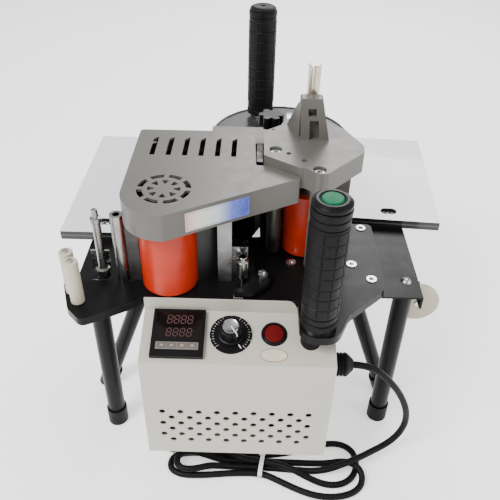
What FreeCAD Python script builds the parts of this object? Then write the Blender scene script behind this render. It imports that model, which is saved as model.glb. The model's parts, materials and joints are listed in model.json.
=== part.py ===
"""Tabletop edge banding machine: four-legged stand, control box, rollers, glue pot and covers."""
import FreeCAD, Part
import math
import os
import re
from FreeCAD import Placement, Rotation, Vector

os.makedirs("parts", exist_ok=True)
doc = FreeCAD.newDocument("EdgeBander")

# ---------------------------------------------------------------- driving dimensions (mm, degrees)
SIZES = [
    ("tableTop", 208, "top face of the stand's table"),
    ("tableGauge", 2, "thickness of the table sheet"),
    ("tableLeft", -176, "left edge of the table"),
    ("tableRight", 160, "right edge of the table"),
    ("tableFront", -156, "front edge of the table"),
    ("tableBack", 0, "back edge of the table, under the wing panels"),
    ("lipDepth", 12, "height of the folded side edges"),
    ("legRadius", 9.5, "outside radius of a front leg tube"),
    ("rearLegRadius", 8.5, "outside radius of a rear leg tube"),
    ("legWall", 1.5, "wall of a leg tube"),
    ("capRadius", 11.2, "outside radius of a rubber leg cap"),
    ("capHeight", 22, "height of a rubber leg cap"),
    ("plateTop", 216, "working face of the base plate"),
    ("panelGauge", 10, "thickness of a laminated wing panel"),
    ("boxLeft", -105, "left side of the control box"),
    ("boxRight", 73, "right side of the control box"),
    ("boxFront", -227, "front face of the control box"),
    ("boxBack", -118, "back of the control box"),
    ("boxBottom", 53.5, "underside of the control box"),
    ("boxEdge", 185, "top of the front face, where the panel slopes back"),
    ("boxGauge", 1.2, "sheet thickness of the control box"),
    ("slopeAngle", 18, "slope of the control panel"),
    ("slopeLength", 54, "length of the control panel up its slope"),
    ("flangeRight", 37.5, "right end of the upright flange"),
    ("ventRadius", 3.1, "radius of a vent hole"),
    ("ventPitch", 17.55, "vent holes, centre to centre in a row"),
    ("ventRowPitch", 8.6, "vent rows, centre to centre"),
    ("ventTopRow", 117, "height of the top vent row"),
    ("driveX", -83, "axis of the driven roller"),
    ("driveY", -148, "axis of the driven roller"),
    ("pressX", 46.5, "axis of the pressure roller"),
    ("pressY", -87, "axis of the pressure roller"),
    ("glueX", 15.5, "axis of the glue roller"),
    ("glueY", -97, "axis of the glue roller"),
    ("rollerRadius", 22.3, "outside radius of the pressure roller"),
    ("driveRollerRadius", 26.3, "outside radius of the driven roller"),
    ("rollerBottom", 217, "lower face of the rollers"),
    ("rollerTop", 286, "upper face of the rollers"),
    ("hubRadius", 15, "aluminium hub inside a rubber sleeve"),
    ("shaftRadius", 4, "drive shaft"),
    ("pinRadius", 5, "fixed pin of the pressure roller"),
    ("running", 0.05, "radial clearance of a running fit"),
    ("coverTop", 315, "top of the vented cover"),
    ("coverDepth", 26, "height of the cover's rim"),
    ("coverWall", 2.5, "wall of the vented cover"),
    ("lidTop", 324, "top of the glue pot's lid"),
    ("lidBottom", 303, "underside of the lid"),
    ("gripRadius", 16.3, "outside radius of the front grip"),
    ("rearGripRadius", 17.4, "outside radius of the rear grip"),
    ("rearGripLength", 137, "length of the rear grip"),
    ("gripCore", 10, "radius of the steel tube inside a grip"),
    ("gripLength", 122, "length of the front grip"),
    ("frontGripX", 55, "axis of the front handle"),
    ("frontGripY", -203, "axis of the front handle"),
    ("rearGripX", 0, "axis of the rear handle"),
    ("rearGripY", 198, "axis of the rear handle"),
    ("trayX", 27, "centre of the tape tray"),
    ("trayY", 138.5, "centre of the tape tray"),
    ("trayRadius", 90.5, "outside radius of the tape tray"),
    ("trayTop", 227, "upper face of the tape tray"),
    ("gearModule", 1.25, "module of the drive gears"),
    ("gearTeeth", 24, "teeth of the drive gear"),
    ("pinionTeeth", 12, "teeth of the motor pinion"),
    ("gearBottom", 197, "lower face of the gears"),
    ("gearWidth", 8, "face width of the gears"),
    ("screwRadius", 3, "shank of the M6 screws"),
    ("cordRadius", 3.5, "radius of the mains lead"),
]
sheet = doc.addObject("Spreadsheet::Sheet", "Sizes")
for row, (alias, size, note) in enumerate(SIZES, 1):
    sheet.set(f"A{row}", note)
    sheet.set(f"B{row}", str(size))
    sheet.setAlias(f"B{row}", alias)
doc.recompute()
ALIASES = {alias for alias, size, note in SIZES}
NODES = []


def val(text):
    """Value of a sum of sheet words and numbers, such as 'tableTop - tableGauge'."""
    total, sign = 0.0, 1.0
    for token in str(text).replace("-", " - ").replace("+", " + ").split():
        if token in "+-":
            sign = sign * (1.0 if token == "+" else -1.0)
            continue
        factor = 1.0
        for word in token.split("*"):
            factor *= float(sheet.get(word)) if word in ALIASES else float(word)
        total, sign = total + sign * factor, 1.0
    return total


def formula(text):
    """The same sum as a FreeCAD expression on the sheet."""
    return re.sub(r"[A-Za-z]\w*", lambda word: "Sizes." + word.group(), str(text))


def bind(obj, **formulas):
    for name, text in formulas.items():
        obj.setExpression(name, formula(text))
    return obj


def place(obj, x, y, z):
    for axis, text in zip("xyz", (x, y, z)):
        obj.setExpression("Placement.Base." + axis, formula(text))
    return obj


# ---------------------------------------------------------------- shapes
def box(x, y, z, length, width, height):
    obj = doc.addObject("Part::Box", "Block")
    return place(bind(obj, Length=length, Width=width, Height=height), x, y, z)


TURN = {"z": Rotation(), "x": Rotation(Vector(0, 1, 0), 90), "y": Rotation(Vector(1, 0, 0), -90)}


def rod(x, y, z, radius, height, axis="z"):
    """Cylinder that starts at a point and runs along +axis."""
    obj = doc.addObject("Part::Cylinder", "Rod")
    obj.Placement = Placement(Vector(), TURN[axis])
    return place(bind(obj, Radius=radius, Height=height), x, y, z)


def tube(x, y, z, outer, inner, height, axis="z"):
    return cut(rod(x, y, z, outer, height, axis), rod(x, y, z, inner, height, axis))


def dome(x, y, z, radius, height):
    """Button-head cap: a sphere's cap on a flat circle."""
    sphere = (val(radius) ** 2 + val(height) ** 2) / (2 * val(height))
    ball = doc.addObject("Part::Sphere", "Ball")
    ball.Radius = sphere
    place(ball, x, y, f"{z} + {val(height) - sphere}")
    return common(ball, rod(x, y, z, radius, height))


def combine(kind, name, shapes):
    obj = doc.addObject(kind, name)
    if kind == "Part::Compound":
        obj.Links = list(shapes)
    else:
        obj.Shapes = list(shapes)
    return obj


def fuse(*shapes):
    return combine("Part::MultiFuse", "Joined", shapes)


def group(*shapes):
    return combine("Part::Compound", "Group", shapes)


def pair(kind, base, tool):
    obj = doc.addObject(kind, "Result")
    obj.Base, obj.Tool = base, tool
    return obj


def cut(base, *tools):
    return pair("Part::Cut", base, tools[0] if len(tools) == 1 else group(*tools))


def common(base, tool):
    return pair("Part::Common", base, tool)


def outline(points):
    """Closed outline of straight runs; a corner given as (x, y, radius) is rounded by an arc."""
    corners = [(Vector(p[0], p[1], 0), p[2] if len(p) > 2 else 0) for p in points]
    stops, arcs = [], []
    for i, (here, radius) in enumerate(corners):
        back = (corners[i - 1][0] - here).normalize()
        ahead = (corners[(i + 1) % len(corners)][0] - here).normalize()
        if radius == 0:
            stops.append((here, here))
            continue
        half = back.getAngle(ahead) / 2
        start, end = (here + side * (radius / math.tan(half)) for side in (back, ahead))
        middle = here + (back + ahead).normalize() * (radius / math.sin(half) - radius)
        stops.append((start, end))
        arcs.append(Part.Arc(start, middle, end))
    lines = [Part.LineSegment(stops[i - 1][1], stops[i][0]) for i in range(len(stops))]
    return lines + arcs


def sketched(points, plane):
    """New body with one sketch on an origin plane."""
    body = doc.addObject("PartDesign::Body", "Body")
    sketch = body.newObject("Sketcher::SketchObject", "Sketch")
    flat = next(f for f in body.Origin.OriginFeatures if f.Role == plane)
    sketch.AttachmentSupport = [(flat, "")]
    sketch.MapMode = "FlatFace"
    sketch.addGeometry(outline(points), False)
    return body, sketch


def slab(points, thickness, x=0, y=0, z=0):
    """Flat plate: an outline padded upwards."""
    body, sketch = sketched(points, "XY_Plane")
    pad = body.newObject("PartDesign::Pad", "Pad")
    pad.Profile = sketch
    bind(pad, Length=thickness)
    return place(body, x, y, z)


def turned(profile, x=0, y=0, z=0, axis="z"):
    """Turned piece: an outline of (radius, height) points revolved about its axis."""
    body, sketch = sketched(profile, "XZ_Plane")
    spin = body.newObject("PartDesign::Revolution", "Revolution")
    spin.Profile = sketch
    spin.ReferenceAxis = (sketch, ["V_Axis"])
    spin.Angle = 360
    body.Placement = Placement(Vector(), TURN[axis])
    return place(body, x, y, z)


def rectangle(x0, y0, x1, y1, radius=0):
    return [(x0, y0, radius), (x1, y0, radius), (x1, y1, radius), (x0, y1, radius)]


def sub_part(label, obj):
    """Name a finished sub-part; the label is also its file's name."""
    obj.Label = label
    NODES.append(obj)
    return obj


def loose(obj):
    """Drop the sheet's hold on an object's place, so that it can be turned and placed freely."""
    for axis in "xyz":
        obj.setExpression("Placement.Base." + axis, None)
    return obj


def along(obj, start, direction):
    """Stand a cylinder or body on a point, with its axis in a direction."""
    obj.Placement = Placement(start, Rotation(Vector(0, 0, 1), direction))
    return obj


# ---------------------------------------------------------------- stand
FRONT_LEGS = [(-157.3, -147), (147.7, -131)]
REAR_LEGS = [((-180, -89), (-105, -90)), ((160, -88), (87, -89))]
PANEL_SCREWS = [(-165, -57), (146, -22)]
LEG_SCREWS = FRONT_LEGS + [(x - math.copysign(2, x), y) for foot, (x, y) in REAR_LEGS]


def build_table():
    """Sheet steel table: notched for the control box, with folded side channels."""
    left, right, front, back = (val(w) for w in ("tableLeft", "tableRight", "tableFront", "tableBack"))
    notch_left, notch_right = val("boxLeft - 1.5"), val("boxRight + 1.5")
    notch_back = val("boxBack + 1.5")
    sheet_outline = [(left, front), (notch_left, front), (notch_left, notch_back, 3),
                     (notch_right, notch_back, 3), (notch_right, front), (right, front),
                     (right, back, 4), (left, back, 4)]
    lip = "tableTop - tableGauge - lipDepth"
    depth = "tableBack - tableFront - 8"
    pieces = [slab(sheet_outline, "tableGauge", z="tableTop - tableGauge")]
    for side in ("tableLeft", "tableRight - 2"):
        pieces.append(box(side, "tableFront", lip, 2, depth, "lipDepth"))
    pieces.append(box("tableLeft", "tableFront", lip, 8, depth, 2))
    holes = [rod(x, y, "tableTop - 4", "screwRadius + 0.2", 6) for x, y in PANEL_SCREWS + LEG_SCREWS]
    holes += [rod("glueX", "glueY", "tableTop - 4", 6, 6), rod("pressX", "pressY", "tableTop - 4", 6, 6)]
    sub_part("table_plate", cut(fuse(*pieces), *holes))


def build_legs():
    """Steel tube legs with solid top plugs, in rubber caps; the rear pair splays outwards."""
    caps, front, rear = [], [], []
    for x, y in FRONT_LEGS:
        leg = cut(rod(x, y, 4, "legRadius", "tableTop - tableGauge - 4"),
                  rod(x, y, 4, "legRadius - legWall", 180),
                  rod(x, y, "tableTop - 12", "screwRadius", 20))
        front.append(leg)
        caps.append(cut(rod(x, y, 0, "capRadius", "capHeight"), rod(x, y, 4, "legRadius", 40)))
    for foot, top in REAR_LEGS:
        start = Vector(foot[0], foot[1], 0)
        direction = Vector(top[0], top[1], val("tableTop - tableGauge")) - start
        direction.normalize()
        screw = next(p for p in LEG_SCREWS[2:] if p[0] * top[0] > 0)

        def leaning(radius, from_end, length):
            return along(loose(rod(0, 0, 0, radius, length)), start + direction * from_end, direction)

        span = box(foot[0] - 120, foot[1] - 60, 4, 240, 120, "tableTop - tableGauge - 4")
        leg = cut(common(leaning("rearLegRadius", -10, 260), span),
                  leaning("rearLegRadius - legWall", -10, 195),
                  rod(screw[0], screw[1], "tableTop - 12", "screwRadius", 20))
        rear.append(leg)
        floor_up = box(foot[0] - 60, foot[1] - 60, 0, 120, 120, 60)
        hollow = common(leaning("rearLegRadius", -10, 60), box(foot[0] - 60, foot[1] - 60, 4, 120, 120, 60))
        caps.append(cut(common(leaning("capRadius", -6, "capHeight + 6"), floor_up), hollow))
    sub_part("front_legs", group(*front))
    sub_part("rear_legs", group(*rear))
    sub_part("leg_caps", group(*caps))


def build_wing_panels():
    """White laminated boards on slotted screws; the right one stands slightly askew."""
    for side, corner, size, yaw, screw in (
            ("left", (-209, -77), (87, 219), 0, PANEL_SCREWS[0]),
            ("right", (199.5, -43), (-100, 195), -4, PANEL_SCREWS[1])):
        board = loose(slab(rectangle(0, 0, size[0], size[1], 0.8), "panelGauge"))
        board.Placement = Placement(Vector(corner[0], corner[1], 0), Rotation(Vector(0, 0, 1), yaw))
        bind(board, **{"Placement.Base.z": "tableTop"})
        sinks = [fuse(rod(screw[0] - 3, screw[1], "tableTop + 5", 6, 6),
                      rod(screw[0] + 3, screw[1], "tableTop + 5", 6, 6),
                      box(screw[0] - 3, screw[1] - 6, "tableTop + 5", 6, 12, 6)),
                 rod(screw[0], screw[1], "tableTop - 1", "screwRadius + 0.2", 6)]
        sub_part(f"wing_panel_{side}", cut(board, *sinks))


def button_screw(x, y, seat, length):
    shank = rod(x, y, f"{seat} - {length}", "screwRadius", f"{length} + 1")
    socket = rod(x, y, f"{seat} + 1.8", 2, 3)
    return cut(fuse(dome(x, y, seat, 5.5, 3.3), shank), socket)


def cap_screw(x, y, seat, length):
    """Socket-head cap screw with its head on a seat."""
    shank = rod(x, y, f"{seat} - {length}", "screwRadius", f"{length} + 1")
    return cut(fuse(rod(x, y, seat, 5, 4.5), shank), rod(x, y, f"{seat} + 2", 2.5, 3))


# ---------------------------------------------------------------- base plate
PLATE_SCREWS = [(111, -54), (94, -117.5), (111, -140), (33.5, -117)]
LEVER_PIVOT = (5, -149)
GUIDE_PINS = {"front": (-164, -182.5), "rear": (-171.8, -169)}
ADJUSTER = (-14, -150)
LID_SCREWS = [(14, -82.5), (53, -118.5)]


def build_base_plate():
    """Black plate that carries everything: guide arm at the left, handle lobe at the right, long tail."""
    flange, right = FOLD_Y + val("boxGauge + running"), val("flangeRight + 0.5")
    points = [(-186, -152, 6), (-172, -192, 10), (-157, -208, 8), (-112, -181, 10), (-106, flange, 2),
              (right, flange, 0.8), (right, -222, 16), (71, -222, 16), (84, -192, 20),
              (122, -155, 10), (123, -46, 6), (97, -46, 3), (97, -10, 6), (54, -10, 6),
              (52, 229, 20), (-22, 229, 20), (-24, 16, 6), (-116, 16, 6), (-116, -152, 5)]
    plate = slab(points, "plateTop - tableTop", z="tableTop")
    holes = [rod("driveX", "driveY", "tableTop - 2", "shaftRadius + running", 12),
             rod("glueX", "glueY", "tableTop - 2", "screwRadius + running", 12),
             rod("pressX", "pressY", "tableTop - 2", "pinRadius", 12),
             rod(ADJUSTER[0], ADJUSTER[1], "tableTop - 2", 2.5 + val("running"), 12)]
    holes += [rod(x, y, "tableTop - 2", "screwRadius", 12) for x, y in PLATE_SCREWS + [LEVER_PIVOT]]
    holes += [rod(x, y, "tableTop - 2", 2, 12) for x, y in GUIDE_PINS.values()]
    holes += [rod(x, y, "plateTop - 3.5", 5.4, 8) for x, y in PLATE_SCREWS]
    holes += [rod(x, y, "tableTop - 2", 7.5, 5.5) for x, y in LEG_SCREWS]
    sub_part("base_plate", cut(plate, *holes))


def build_screws():
    """Screws of one size share a node: cap screws on the plate and lid, button screws on the stand."""
    caps = [cap_screw(x, y, "plateTop - 3.5", 4.5) for x, y in PLATE_SCREWS]
    caps.append(cap_screw(LEVER_PIVOT[0], LEVER_PIVOT[1], "plateTop + 7.3", 15.3))
    caps += [cap_screw(x, y, "lidTop - 7", 24) for x, y in LID_SCREWS]
    buttons = [button_screw(x, y, "tableTop", 12) for x, y in LEG_SCREWS]
    buttons += [button_screw(x, y, "tableTop + 5", 13) for x, y in PANEL_SCREWS]
    sub_part("screws", group(*(caps + buttons)))


# ---------------------------------------------------------------- control box
ANGLE = math.radians(val("slopeAngle"))
SLOPE = Placement(Vector(0, val("boxFront"), val("boxEdge")), Rotation(Vector(1, 0, 0), val("slopeAngle")))
FOLD_Y = val("boxFront") + val("slopeLength") * math.cos(ANGLE)
FOLD_Z = val("boxEdge") + val("slopeLength") * math.sin(ANGLE)
CONTROLLER = (-95, 4.5)
DIAL = (-22.9, 30)
SWITCH = (16.7, 31.5)


def on_slope(*shapes):
    """Lay pieces drawn in panel coordinates (across, up the slope, outwards) on the sloping panel."""
    obj = group(*shapes)
    obj.Placement = SLOPE
    return obj


def side_profile(inset, top, back):
    """Outline of the box seen from the side, as (depth, height) points, moved inwards by an inset."""
    front, bottom, edge = val("boxFront") + inset, val("boxBottom") + inset, val("boxEdge")
    drop = inset / math.cos(ANGLE) - inset * math.tan(ANGLE)
    return [(front, bottom), (front, edge - drop), (FOLD_Y + inset, FOLD_Z - drop),
            (FOLD_Y + inset, top), (back, top), (back, bottom)]


def side_prism(points, start, length):
    """Extrude a (depth, height) outline across the machine."""
    body = loose(slab(points, length))
    body.Placement = Placement(Vector(val(start), 0, 0), Rotation(Vector(1, 1, 1), 120))
    return body


def build_box():
    """Folded sheet box: front, bottom and sides in one shell with an upright flange, and a back cover."""
    gauge = val("boxGauge")
    outer = side_prism(side_profile(0, val("tableTop"), val("boxBack")), "boxLeft", "boxRight - boxLeft")
    inner = side_prism(side_profile(gauge, val("tableTop") + 9, val("boxBack") + 9),
                       "boxLeft + boxGauge", "boxRight - boxLeft - 2*boxGauge")
    flange_outline = [(val("boxLeft"), FOLD_Z - 2), (val("flangeRight"), FOLD_Z - 2),
                      (val("flangeRight"), val("plateTop"), 9), (val("boxLeft"), val("plateTop"), 1)]
    flange = loose(slab(flange_outline, gauge))
    flange.Placement = Placement(Vector(0, FOLD_Y + gauge, 0), Rotation(Vector(1, 0, 0), 90))
    vents = []
    middle = (val("boxLeft") + val("boxRight")) / 2 - 1.5
    for row in range(6):
        count = 9 - row % 2
        for i in range(count):
            x = middle + (i - (count - 1) / 2) * val("ventPitch")
            vents.append(rod(x, "boxFront - 2", f"ventTopRow - {row}*ventRowPitch", "ventRadius", 5, "y"))
    across, up = CONTROLLER
    openings = [on_slope(box(across + 1.5, up + 1.5, -8, 45, 45, 20)),
                on_slope(rod(DIAL[0], DIAL[1], -8, 4, 20), rod(SWITCH[0], SWITCH[1], -8, 10, 20)),
                rod("boxRight - 3", -185, 144, 6.5, 6, "x"),
                rod("frontGripX - 5", "frontGripY + 1", 180, 5, 30)]
    sub_part("box_shell", cut(fuse(cut(outer, inner), flange), *(vents + openings)))
    back = box("boxLeft + boxGauge", "boxBack - boxGauge", "boxBottom + boxGauge",
               "boxRight - boxLeft - 2*boxGauge", "boxGauge", "tableTop - boxBottom - boxGauge")
    sub_part("box_back", back)


def build_controller():
    """Temperature controller: square case, window and four push keys under it."""
    across, up = CONTROLLER
    case = fuse(box(across, up, 0, 48, 48, 5), box(across + 1.6, up + 1.6, -38, 44.8, 44.8, 39))
    pockets = [box(across + 3, up + 17, 3.2, 42, 28, 3)]
    keys = [(across + 6.2 + 9.2 * i, up + 8.2) for i in range(4)]
    pockets += [box(x - 0.2, y - 0.2, 2, 8.4, 5.4, 4) for x, y in keys]
    sub_part("controller_case", on_slope(cut(case, *pockets)))
    sub_part("controller_window", on_slope(box(across + 3, up + 17, 3.2, 42, 28, 1.5)))
    for number, (x, y) in enumerate(keys, 1):
        sub_part(f"controller_key_{number}", on_slope(box(x, y, 3, 8, 5, 2.6)))


def build_dial():
    """Speed control: graduated disc, and a fluted knob on the potentiometer's spindle."""
    x, y = DIAL
    sub_part("dial_plate", on_slope(cut(rod(x, y, 0, 19.5, 1), rod(x, y, -1, "screwRadius + running", 3))))
    skirt = turned([(0, 1.3), (13, 1.3, 0.5), (12.4, 4.5, 0.8), (11, 5), (10.2, 17, 1.2), (0, 17)], x, y, 0)
    flutes = []
    for i in range(9):
        turn = math.radians(40 * i)
        flutes.append(rod(x + 13 * math.cos(turn), y + 13 * math.sin(turn), 5.5, 3.2, 14))
    spindle = rod(x, y, -12, 3, 14)
    sub_part("speed_knob", on_slope(fuse(cut(skirt, *flutes), spindle)))


def build_power_switch():
    """Round rocker switch in the sloping panel."""
    x, y = SWITCH
    body = turned([(0, -20), (9.8, -20), (9.8, 0), (12, 0), (12, 1.2, 0.6), (10, 2.6, 0.5), (9.4, 2.6),
                   (9.4, -4), (0, -4)], x, y, 0)
    sub_part("power_switch", on_slope(body))
    rocker = turned([(0, -2), (8.6, -2), (9, 1.6, 0.6), (8.4, 2.4, 0.6), (0, 3.2)], x, y, 0)
    sub_part("power_rocker", on_slope(rocker))


def build_gland():
    """Ribbed strain relief on the right side, and the rubber bush that takes the switch wires."""
    ribs = [(3.6, 0), (6.4, 0), (6.4, 1.5), (12, 1.5)]
    for i in range(4):
        ribs += [(12, 4 + 3.2 * i), (11, 4.6 + 3.2 * i), (11, 5.8 + 3.2 * i), (12, 6.4 + 3.2 * i)]
    ribs += [(11.6, 18.5, 2), (5.6, 25, 1.5), (3.6, 25)]
    sub_part("cable_gland", turned(ribs, "boxRight - 1.5", -185, 144, "x"))
    above = box(30, 0, 0, 50, 40, 60)
    column = rod("frontGripX - 5", "frontGripY + 1", 180, 9.5, "tableTop - 180")
    inside = on_slope(above)
    bore = rod("frontGripX - 5", "frontGripY + 1", 178, 5, 40)
    sub_part("switch_bush", cut(common(column, inside), bore))


# ---------------------------------------------------------------- handles
def grip_profile(bottom, outer, length):
    """Rubber sleeve: a collar and two grooves at each end, fine cross grooves between them."""
    bore = val("gripCore")
    points = [(bore, bottom), (outer + 0.6, bottom, 1), (outer + 0.6, bottom + 6, 0.8)]
    grooves = [6.5, 13.5] + [20 + 4.4 * i for i in range(int((length - 42) / 4.4) + 1)]
    grooves += [length - 15, length - 8]
    for height in grooves:
        z = bottom + height
        points += [(outer, z, 0.2), (outer - 0.8, z + 0.3), (outer - 0.8, z + 1.2), (outer, z + 1.5, 0.2)]
    top = bottom + length
    points += [(outer, top - 6), (outer + 0.5, top - 5.5, 0.3), (outer + 0.5, top, 1), (bore, top)]
    return points


def build_handles():
    """Two upright handles: steel core tubes screwed to the plate, ribbed rubber grips, caps on top."""
    foot, tube_radius = val("plateTop"), val("gripCore")
    front_seat, rear_seat = foot + 3, val("trayTop") + 7
    seats = [("frontGripX", "frontGripY", front_seat, 15.5, val("gripRadius"), val("gripLength")),
             ("rearGripX", "rearGripY", rear_seat, 11.5, val("rearGripRadius"), val("rearGripLength"))]
    cores, grips = [], []
    for x, y, seat, base, radius, length in seats:
        top = seat + length + 1
        cores.append(turned([(0, foot), (base, foot), (base, seat), (tube_radius, seat), (tube_radius, top),
                             (tube_radius - 2, top), (tube_radius - 2, seat + 2), (0, seat + 2)], x, y))
        grips.append(turned(grip_profile(seat, radius, length), x, y))
    top = front_seat + val("gripLength") + 1
    x, y = "frontGripX", "frontGripY"
    ring = turned([(0, top), (16.5, top, 0.8), (16.5, top + 3.5, 1.6), (13, top + 6, 1), (11, top + 6),
                   (9.4, top + 5.4), (9.4, top + 1.2), (0, top + 1.2)], x, y)
    sub_part("start_switch", ring)
    rocker = turned([(0, top + 2.6), (8.6, top + 2.6), (9, top + 5.4, 0.5), (8.2, top + 6.4, 0.6),
                     (0, top + 7.2)], x, y)
    sub_part("start_rocker", rocker)
    end = rear_seat + val("rearGripLength")
    rim = val("rearGripRadius") - 1
    cap = turned([(2.5, end + 1), (tube_radius, end + 1), (tube_radius, end), (rim, end),
                  (rim, end + 3, 1.5), (rim - 3.5, end + 5, 1), (2.5, end + 5)], "rearGripX", "rearGripY")
    sub_part("handle_cores", group(*cores))
    sub_part("handle_grips", group(grips[0], fuse(grips[1], cap)))


# ---------------------------------------------------------------- rollers and drive
GEAR_RADIUS = val("gearModule") * val("gearTeeth") / 2
PINION_RADIUS = val("gearModule") * val("pinionTeeth") / 2
MESH_ANGLE = 20
MESH_GAP = 0.15
REACH = GEAR_RADIUS + PINION_RADIUS + MESH_GAP
MOTOR_X = val("driveX") + REACH * math.cos(math.radians(MESH_ANGLE))
MOTOR_Y = val("driveY") + REACH * math.sin(math.radians(MESH_ANGLE))


def gear(teeth, first, x, y):
    """Spur gear with straight-flanked teeth; the first tooth points at an angle."""
    module = val("gearModule")
    pitch = module * teeth / 2
    root, tip = pitch - 1.15 * module, pitch + 0.8 * module
    half_root, half_tip = 0.66 * module, 0.28 * module
    points = []
    for i in range(int(teeth)):
        turn = math.radians(first + 360 * i / teeth)
        for radius, half in ((root, -half_root), (tip, -half_tip), (tip, half_tip), (root, half_root)):
            angle = turn + half / radius
            points.append((radius * math.cos(angle), radius * math.sin(angle)))
    return slab(points, "gearWidth", x, y, "gearBottom")


def build_drive():
    """Geared motor hung under the plate, and the driven rubber roller above it."""
    x, y = "driveX", "driveY"
    hub = rod(x, y, "rollerBottom", "hubRadius", "rollerTop - rollerBottom")
    spindle = rod(x, y, "gearBottom - 5", "shaftRadius", "coverTop - 17 - gearBottom")
    sub_part("drive_shaft", fuse(spindle, hub, gear(val("gearTeeth"), MESH_ANGLE, x, y)))
    sub_part("drive_roller", rubber_sleeve(x, y, val("driveRollerRadius")))
    half_tooth = 180 / val("pinionTeeth")
    pinion = gear(val("pinionTeeth"), MESH_ANGLE + 180 + half_tooth, MOTOR_X, MOTOR_Y)
    sub_part("motor_pinion", fuse(pinion, rod(MOTOR_X, MOTOR_Y, "gearBottom - 12", 3, 22)))
    can = turned([(0, 84), (19, 84, 2), (19, 150), (19.8, 150), (19.8, 191, 1), (7, 191), (7, 194),
                  (3.05, 194), (3.05, 183), (0, 183)], MOTOR_X, MOTOR_Y)
    sub_part("drive_motor", can)
    bracket = fuse(box(-103.5, -166, 191, 71.5, 46, 3), box(-103.5, -166, 191, 3.5, 46, "tableTop - 191"),
                   box(-36, -166, 191, 4, 46, "tableTop - 191"))
    sub_part("motor_bracket", cut(bracket, rod(MOTOR_X, MOTOR_Y, 190, 7.5, 6),
                                  rod(x, y, 190, "shaftRadius + running", 6)))


def rubber_sleeve(x, y, outer):
    bottom, top, bore = val("rollerBottom"), val("rollerTop"), val("hubRadius")
    return turned([(bore, bottom), (outer, bottom, 1.2), (outer, top, 1.2), (bore, top)], x, y)


def build_press_roller():
    """Idle pressure roller on a pin between plate and lid, and the glue roller beside it."""
    hub = tube("pressX", "pressY", "rollerBottom", "hubRadius", "pinRadius + running",
               "rollerTop - rollerBottom")
    sub_part("press_hub", hub)
    sub_part("press_roller", rubber_sleeve("pressX", "pressY", val("rollerRadius")))
    shaft, low, top, high = (val(word) for word in ("screwRadius", "tableTop", "rollerTop", "lidBottom"))
    glue = turned([(0, low + 0.5), (shaft, low + 0.5), (shaft, low + 10), (7.5, low + 10, 0.6),
                   (7.5, top, 0.6), (shaft, top), (shaft, high + 5), (0, high + 5)], "glueX", "glueY")
    sub_part("glue_roller", glue)


# ---------------------------------------------------------------- covers and glue pot
GRILLE = (-84, -143)


def cover_outline(inset):
    """Plan of the vented cover: round nose at the left, straight slanted front, notch for the lid."""
    i = inset
    return [(-122 + i, -30 - i, 4), (-121 + i, -185.5 + i, 38 - i), (-80 - 0.3 * i, -185.5 + i, 6),
            (37.5 - 3.8 * i, -118.8 - 1.6 * i + 1.2 * i, 1.5), (8.8 - i, -98.6 - 0.8 * i, 3),
            (-4.2 - i, -97.4 - 0.8 * i, 2), (-6 - i, -29 - i, 3)]


def build_cover():
    """Grey cover over the drive side, open below, with six slots and a round grille in its top."""
    top, wall = val("coverTop"), val("coverWall")
    shell = slab(cover_outline(0), "coverDepth", z="coverTop - coverDepth")
    cavity = slab(cover_outline(wall), "coverDepth - coverWall + 1", z="coverTop - coverDepth - 1")
    x, y = GRILLE
    tools = [cavity]
    for i in range(6):
        left = -106.2 + 15.6 * i
        tools.append(slab([(left, -82.5), (left + 5, -82.5), (left + 5, -45), (left, -50)], "coverWall + 2",
                          z="coverTop - coverWall - 1"))
    band = cut(rod(x, y, top - wall - 1, 24, wall + 2), rod(x, y, top - wall - 1, 19, wall + 2))
    star = cut(rod(x, y, top - wall - 1, 14.5, wall + 2), rod(x, y, top - wall - 1, 8.5, wall + 2))
    for i in range(8):
        for reach, half in ((25, 2.2), (16, 2.4)):
            turn = math.radians(45 * i + (22.5 if reach == 16 else 0))
            across = Vector(-math.sin(turn), math.cos(turn), 0) * half
            out = Vector(math.cos(turn), math.sin(turn), 0) * reach
            corners = [(p.x, p.y) for p in (-across, out - across, out + across, across)]
            spoke = slab(corners, "coverWall + 4", x, y, "coverTop - coverWall - 2")
            if reach == 25:
                band = cut(band, spoke)
            else:
                star = cut(star, spoke)
    sub_part("vented_cover", cut(shell, *(tools + [band, star])))
    plate = slab(cover_outline(wall + 1.5), 3, z="coverTop - coverDepth + 1")
    post = (-106, -52)
    stud = 3
    holes = [rod("driveX", "driveY", "coverTop - coverDepth", "shaftRadius + running", 6),
             rod(-31, -142, "coverTop - coverDepth", stud, 6),
             rod(post[0], post[1], "coverTop - coverDepth", stud, 6)]
    sub_part("bearing_plate", cut(plate, *holes))
    seat, roof = top - val("coverDepth") + 1, top - wall
    foot = val("plateTop")
    square = fuse(box(-37.5, -148.5, foot, 13, 13, seat - foot), rod(-31, -142, seat, stud, roof - seat))
    rounded = turned([(0, foot), (6, foot), (6, seat), (stud, seat), (stud, roof), (0, roof)], *post)
    sub_part("cover_columns", group(square, rounded))


LID = [(3, -94, 3), (36, -116.7, 1.5), (40, -116.5, 1), (56, -130, 9), (97.5, -84, 3), (98.5, -71, 3),
       (84, -38, 5), (65, -15, 6), (25, -15, 6), (20, -30.7, 3), (3, -45, 3)]


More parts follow.
